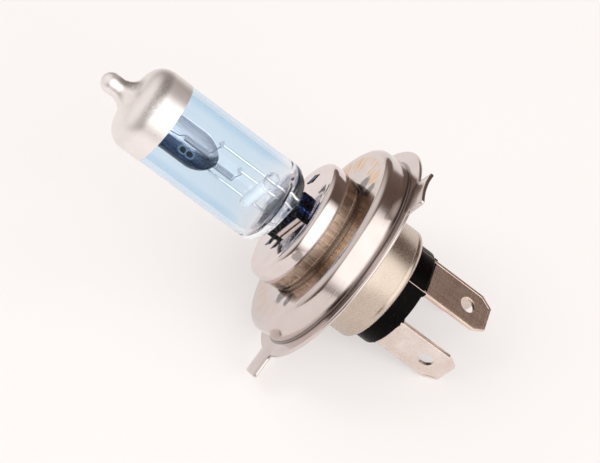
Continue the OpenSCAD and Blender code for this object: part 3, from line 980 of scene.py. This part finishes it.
def spike(start, end, half_start, half_end):
    """A flat spike of clip sheet that thins towards its end."""
    start, end = Vector(start), Vector(end)
    along = (end - start).normalized()
    side = Vector((0, -along.z, along.y)).normalized()
    flat = along.cross(side)
    rings = []
    for i in range(9):
        t = i / 8
        centre = start.lerp(end, t)
        half = half_start + (half_end - half_start) * t
        thin = CLIP_SHEET / 2 * (1 - 0.6 * t)
        rings.append([centre + side * (half * u) + flat * (thin * v) for u, v in rounded(1, 1, 0.45, 3)])
    return skin(rings)


def slab(corner, opposite):
    """A small block of clip sheet between two corners, with soft edges."""
    centre = (Vector(corner) + Vector(opposite)) / 2
    half = [abs(a - b) for a, b in zip(corner, centre)]
    outline = rounded(half[1], half[2], 0.1, 3)
    soft = 0.06
    levels = ((-half[0], soft), (soft - half[0], 0), (half[0] - soft, 0), (half[0], soft))
    return skin([[centre + Vector((x, u, v)) for u, v in slim(outline, by)] for x, by in levels])


def ear(x, y, root, tip):
    """A pointed ear along Z: a thin neck that widens to a diamond."""
    widest = (root + tip) / 2
    neck = spike((x, y, root), (x, y, widest), 0.12, 0.85)
    point = spike((x, y, widest), (x, y, tip), 0.85, 0.05)
    return [neck, point]


def make_clip():
    """A sprung band round the pinch. A leaf with a turned-up lip stands out on each broad side."""
    gap = 0.05
    half_t, half_w = PINCH_HALF_T + gap, PINCH_HALF_W + gap
    rear = CAP_FACE_X - 0.05
    front = rear - 1.5
    outer = rounded(half_t + CLIP_SHEET, half_w + CLIP_SHEET, 0.5)
    inner = rounded(half_t, half_w, 0.25)
    soft = 0.08
    slimmer = slim(outer, soft)
    levels = [(front + soft, outer), (rear - soft, outer), (rear, slimmer), (rear, inner)]
    levels += [(front, inner), (front, slimmer)]
    dark = [skin([[(x, u, v) for u, v in ring] for x, ring in levels], closed=True)]
    leaves = []
    foot, reach = half_t + CLIP_SHEET, half_t + 2.4
    for side in (-1, 1):
        long_end, short_end = -side * (half_w + 0.1), side * 1.4
        leaves.append(slab((rear - 0.3, side * foot, short_end), (rear, side * reach, long_end)))
        leaves.append(slab((rear - 0.85, side * (reach - 0.28), short_end), (rear, side * reach, long_end)))
        dark.append(slab((front, side * foot, long_end), (rear, side * reach, long_end - side * CLIP_SHEET)))
    dark += ear(rear - 0.55, -reach + 0.1, -1.3, -5.2)
    dark += ear(front + 0.15, reach + 0.05, 4.6, 8.2)
    # the band, its plates and its ears take the steel painted near black as shade and dark reflection
    make("clip_band", dark, "blued_steel", "pinch_clip", crease=30)
    make("clip_leaves", leaves, "bright_steel", "pinch_clip", crease=30)


def slim(ring, by):
    """A (u, v) outline drawn in towards its centre by about by."""
    return [(u - math.copysign(by, u), v - math.copysign(by, v)) for u, v in ring]


def make_cap():
    """The pressed cap with a rounded rim and a slot for the pinch."""
    rim, sheet, segments = 0.9, 0.28, 192
    outer = [(CAP_FACE_X, CAP_R - 2.5), (CAP_FACE_X + 0.05, CAP_R - 2.2), (CAP_FACE_X, CAP_R - 1.9)]
    outer += arc(CAP_FACE_X + rim, CAP_R - rim, rim, 180, 90, 14)
    outer += arc(CAP_RIM_X - 0.1, CAP_R - 0.1, 0.1, 90, 0, 4)
    inner = [(CAP_RIM_X, CAP_R - sheet)]
    inner += arc(CAP_FACE_X + rim, CAP_R - rim, rim - sheet, 90, 180, 10)
    slot = [(CAP_FACE_X + sheet, 0.4), (CAP_FACE_X + 0.05, 0.4), (CAP_FACE_X, 0.45)]
    rings = [circle_ring(x, r, segments) for x, r in outer + inner]
    rings += [flat_ring(x, PINCH_HALF_T + grow, PINCH_HALF_W + grow, 14, segments) for x, grow in slot]
    make("cap_cup", [skin(rings, closed=True)], "bright_steel", "front_cap")


# ---- sleeve, ring and shell

def make_sleeve():
    """The focus sleeve, with softened edges and a fine groove near its rear."""
    inner = SHELL_R + 0.03
    edge = 0.1
    profile = [(SLEEVE_FRONT_X, inner), (SLEEVE_FRONT_X, SLEEVE_R - edge), (SLEEVE_FRONT_X + edge, SLEEVE_R)]
    rear = SLEEVE_REAR_X
    profile += [(rear - 0.5, SLEEVE_R), (rear - 0.42, SLEEVE_R - 0.06), (rear - 0.34, SLEEVE_R)]
    profile += [(rear - edge, SLEEVE_R), (rear, SLEEVE_R - edge), (rear, inner)]
    make("sleeve", [lathe(profile, 160, closed=True)], "heat_tinted_steel", "focus_sleeve")


def tab(angle, width, reach):
    """An arched tab with rounded edges. Its arch, its crown to the front, grows out of the flat flange."""
    root = FLANGE_R - 2.2
    rise, corner, edge = 0.45, 0.5, 0.24
    turn = turned(angle)
    inside = 0.02
    stations = [(root + (reach - 0.2 - root) * i / 26, 1.0) for i in range(27)]
    stations += [(reach - 0.06, 0.86), (reach, 0.55)]
    rings = []
    for out, thick in stations:
        past = max(out - (reach - corner), 0)
        half = width / 2 - (corner - math.sqrt(max(corner ** 2 - past ** 2, 0)))
        half += 0.25 * (1 - smooth(out, FLANGE_R - 0.4, FLANGE_R + 0.4))
        grow = smooth(out, root + 0.3, FLANGE_R + 0.9)
        deep = (SHEET / 2 - inside * (1 - grow)) * thick
        ring = []
        for across, lift in tab_section(half, edge):
            bow = rise * (1 - (across / half) ** 2) * grow
            ring.append(turn @ Vector((SHEET / 2 - bow - lift * deep, across, out)))
        rings.append(ring)
    return skin(rings)


def tab_section(half, edge):
    """A flat strip's outline with round edges, as (place across, share of half the thickness)."""
    flat = half - edge
    front = [(flat * (k / 8 - 1), 1.0) for k in range(17)]
    right = [(flat + edge * math.sin(a), math.cos(a)) for a in [math.pi * k / 8 for k in range(1, 8)]]
    rear = [(-across, -1.0) for across, _ in front]
    left = [(-across, -lift) for across, lift in right]
    return front + right + rear + left


TABS = ((0, 7.2, TAB_REACH), (133, 6.0, 25.8), (-133, 6.0, 25.8))


def make_ring():
    """The ring in one pressed sheet: polished face, pilot wall, flange and three arched tabs.

    TABS holds each tab's angle from +Z, its width and its reach from the axis.
    """
    inner_r = PILOT_R - SHEET
    shoulder = 1.2
    fillet = 0.25
    hole = SHELL_R + 0.04
    bend = PILOT_X + shoulder
    profile = [(PILOT_X + SHEET, hole), (PILOT_X + 0.12, hole), (PILOT_X + 0.03, hole + 0.03)]
    profile += [(PILOT_X, hole + 0.12)]
    profile += arc(bend, PILOT_R - shoulder, shoulder, 180, 90, 16)
    profile += [(-fillet - 0.05, PILOT_R), (-fillet, PILOT_R - 0.03)]
    profile += arc(-fillet, PILOT_R + fillet - 0.03, fillet, 270, 360, 6)[1:]
    profile += [(0.0, FLANGE_R - SHEET / 2)]
    profile += arc(SHEET / 2, FLANGE_R - SHEET / 2, SHEET / 2, 180, 0, 14)[1:]
    profile += [(SHEET, inner_r + 0.6)] + arc(SHEET - 0.6, inner_r + 0.6, 0.6, 0, -90, 6)[1:]
    profile += arc(bend, PILOT_R - shoulder, shoulder - SHEET, 90, 180, 8)
    shells = [lathe(profile, 256, closed=True)] + [tab(*each) for each in TABS]
    make("ring", shells, "ring_steel", "reference_ring", crease=30)


def make_shell():
    """The barrel, with its rear edge rolled in over the insulator and a fine bead before the roll."""
    wall, roll = 0.45, 1.0
    lip = INSULATOR_R + 0.05
    front = SHELL_FRONT_X
    profile = [(front, SHELL_R - wall), (front, SHELL_R - 0.08), (front + 0.08, SHELL_R)]
    profile += [(SHELL_REAR_X - roll - 0.5, SHELL_R), (SHELL_REAR_X - roll - 0.35, SHELL_R - 0.07)]
    profile += arc(SHELL_REAR_X - roll, SHELL_R - roll, roll, 90, 0, 14)
    profile += [(SHELL_REAR_X, lip + 0.1), (SHELL_REAR_X - 0.1, lip), (SHELL_REAR_X - wall, lip)]
    profile += arc(SHELL_REAR_X - roll, SHELL_R - roll, roll - wall, 0, 90, 8)
    make("shell", [lathe(profile, 192, closed=True)], "satin_nickel", "base_shell")


# ---- insulator and blades

def make_insulator():
    """A moulded plug with a rounded rear edge, a recessed end and a raised collar at each blade."""
    body = SHELL_R - 0.5
    step = SHELL_REAR_X - 1.55
    edge = 0.45
    profile = [(INSULATOR_FRONT_X, 0.0), (INSULATOR_FRONT_X, body - 0.2), (INSULATOR_FRONT_X + 0.2, body)]
    profile += [(step, body), (step + 0.9, INSULATOR_R)]
    profile += arc(INSULATOR_REAR_X - edge, INSULATOR_R - edge, edge, 90, 0, 8)
    profile += [(INSULATOR_REAR_X, 6.0), (INSULATOR_REAR_X - 0.5, 5.6), (INSULATOR_REAR_X - 0.5, 0.0)]
    shells = [lathe(profile, 160)]
    for turn, out in ((0, TOP_OUT), (90, SIDE_OUT), (-90, SIDE_OUT)):
        inset = out - BLADE_T / 2 - 0.05
        outline = rounded(BLADE_HALF_W + 0.3, BLADE_T / 2 + 0.3, 0.25)
        outline = [(u, min(v, BLADE_T / 2 + 0.02) + inset) for u, v in outline]
        rings = []
        for past, size in ((-0.3, 1.0), (0.27, 1.0), (0.35, 0.975)):
            rings.append([turned(turn) @ Vector((INSULATOR_REAR_X + past, u * size, v)) for u, v in outline])
        shells.append(skin(rings))
    make("plug", shells, "black_insulator", "insulator", crease=30)


def drawn_in(corners, inset):
    """A convex outline with every edge moved inwards by inset."""
    lines = []
    for i, corner in enumerate(corners):
        ahead = (Vector(corners[(i + 1) % len(corners)]) - Vector(corner)).normalized()
        lines.append((Vector(corner) + Vector((-ahead.y, ahead.x)) * inset, ahead))
    moved = []
    for i, (start, ahead) in enumerate(lines):
        before, along = lines[i - 1]
        gap = start - before
        cross = along.x * ahead.y - along.y * ahead.x
        moved.append(before + along * ((gap.x * ahead.y - gap.y * ahead.x) / cross))
    return moved


def edge_point(corners, centre, angle):
    """Where a ray from centre meets a convex outline."""
    ray = Vector((math.cos(angle), math.sin(angle)))
    nearest = 1000.0
    for i, corner in enumerate(corners):
        side = corners[(i + 1) % len(corners)] - corner
        cross = ray.x * side.y - ray.y * side.x
        if abs(cross) < 1e-9:
            continue
        gap = corner - centre
        reach = (gap.x * side.y - gap.y * side.x) / cross
        if reach > 0:
            nearest = min(nearest, reach)
    return centre + ray * nearest


def make_blade(name, node, slot, turn, out):
    """A flat blade with a latch hole, a coined border and rounded edges."""
    cut_x, hole_in, hole_r = 2.3, 4.6, 1.45
    side, tip = BLADE_HALF_W, BLADE_HALF_W - BLADE_CUT
    outline = [(BLADE_ROOT_X, -side), (BLADE_END_X - cut_x, -side), (BLADE_END_X, -tip)]
    outline += [(x, -y) for x, y in reversed(outline)]
    centre = Vector((BLADE_END_X - hole_in, 0))
    turning = [math.atan2(y, x - centre.x) for x, y in outline]
    steps = [(2 * math.pi * k / 96 - math.pi, None) for k in range(96)]
    steps = [step for step in steps if min(abs(step[0] - a) for a in turning) > 0.02]
    steps += [(a, i) for i, a in enumerate(turning)]
    steps.sort(key=lambda step: step[0])

    def edge_ring(inset):
        corners = drawn_in(outline, inset)
        return [edge_point(corners, centre, a) if i is None else corners[i] for a, i in steps]

    def hole_ring(radius):
        return [centre + radius * Vector((math.cos(a), math.sin(a))) for a, _ in steps]

    soft, coined = 0.1, 0.045
    face = [(edge_ring(inset), depth) for inset, depth in (
        (0.0, soft), (soft * 0.3, soft * 0.3), (soft, 0.0), (0.5, 0.0), (0.58, coined))]
    face += [(hole_ring(hole_r + more), depth) for more, depth in (
        (0.45, coined), (soft * 0.8, coined), (soft * 0.2, coined + soft * 0.3), (0.0, coined + soft))]
    levels = face + [(ring, BLADE_T - depth) for ring, depth in reversed(face)]
    rings = [[turned(turn) @ Vector((p.x, p.y, out - depth)) for p in ring] for ring, depth in levels]
    make(name, [skin(rings, closed=True)], slot, node, crease=24)


def make_blades():
    make_blade("top_blade", "terminal_top", "dark_terminal", 0, TOP_OUT)
    make_blade("left_blade", "terminal_left", "plain_terminal", 90, SIDE_OUT)
    make_blade("right_blade", "terminal_right", "plain_terminal", -90, SIDE_OUT)


# ---- studio

BACKDROP = (0.955, 0.92, 0.912)


def make_floor():
    """A pale floor that the bulb lies on, touching the flange's edge and the side blades' ends."""
    flange = Vector((SHEET / 2, 0, -FLANGE_R))
    blade = Vector((BLADE_END_X, 0, BLADE_CUT - BLADE_HALF_W))
    along = (blade - flange).normalized()
    normal = Vector((-along.z, 0, along.x))
    side = Vector((0, 1, 0))
    half = 420
    corners = [flange + half * (along * u + side * v) for u, v in ((-1, -1), (1, -1), (1, 1), (-1, 1))]
    mesh = bpy.data.meshes.new("floor")
    mesh.from_pydata([c * MM for c in corners], [], [(0, 1, 2, 3)])
    floor = new_object("floor", mesh)
    if mesh.polygons[0].normal.dot(normal) < 0:
        mesh.flip_normals()
    mesh.materials.append(look_floor())


def look_floor():
    """White paper that also glows a little, so that shadows on it stay faint. It shows only from above."""
    material = bpy.data.materials.new("floor_paper")
    graph = Graph(material)
    paper = graph.node("ShaderNodeBsdfDiffuse", Color=(0.40, 0.385, 0.38))
    glow = graph.node("ShaderNodeEmission", Color=BACKDROP, Strength=0.56)
    both = graph.join("ShaderNodeAddShader", paper.outputs[0], glow.outputs[0]).outputs[0]
    below = graph.node("ShaderNodeNewGeometry").outputs["Backfacing"]
    clear = graph.node("ShaderNodeBsdfTransparent").outputs[0]
    shown = graph.join("ShaderNodeMixShader", below, both, clear)
    graph.node("ShaderNodeOutputMaterial", Surface=shown.outputs[0])
    return material


def make_world():
    """A studio with one wide white side and a paler end, and a dim warm room behind."""
    world = bpy.data.worlds.new("studio")
    bpy.context.scene.world = world
    graph = Graph(world)
    where = graph.node("ShaderNodeTexCoord").outputs["Generated"]
    side = graph.vector("DOT_PRODUCT", where, Vector((0.27, -0.46, 0.84)).normalized())
    end = graph.vector("DOT_PRODUCT", where, Vector((-1.0, 0.0, 0.15)).normalized())
    white = graph.math("MAXIMUM", graph.between(side, 0.6, 0.85), graph.between(end, 0.3, 0.85, 0.0, 0.48))
    room = graph.mix(graph.between(side, -0.6, 0.4), (0.22, 0.16, 0.135), (0.14, 0.095, 0.078))
    studio = graph.node("ShaderNodeBackground", Color=graph.mix(white, room, (1.65, 1.62, 1.58)))
    backdrop = graph.node("ShaderNodeBackground", Color=BACKDROP)
    path = graph.node("ShaderNodeLightPath").outputs
    through = graph.math("MINIMUM", graph.times(path["Transmission Depth"], 0.8), 0.8)
    through = graph.math("MAXIMUM", through, path["Is Transmission Ray"])
    seen = graph.math("MAXIMUM", path["Is Camera Ray"], through)
    shown = graph.join("ShaderNodeMixShader", seen, studio.outputs[0], backdrop.outputs[0])
    graph.node("ShaderNodeOutputWorld", Surface=shown.outputs[0])


def make_studio():
    bpy.context.scene.view_settings.view_transform = "Standard"
    make_world()
    make_floor()
    make_light("key", (0.15, -0.55, 0.85), 0.75, 0.5, 0.4, 2.2, (1.0, 0.985, 0.975))
    make_light("front", (-0.95, -0.15, 0.45), 0.8, 0.3, 0.3, 0.9, (1.0, 0.985, 0.97))


make_camera()
make_studio()
make_glass()
make_coating()
make_low_filament()
make_high_filament()
make_shield()
make_wires()
make_common_wire()
make_bridge()
make_pinch_metal()
make_clip()
make_cap()
make_sleeve()
make_ring()
make_shell()
make_insulator()
make_blades()
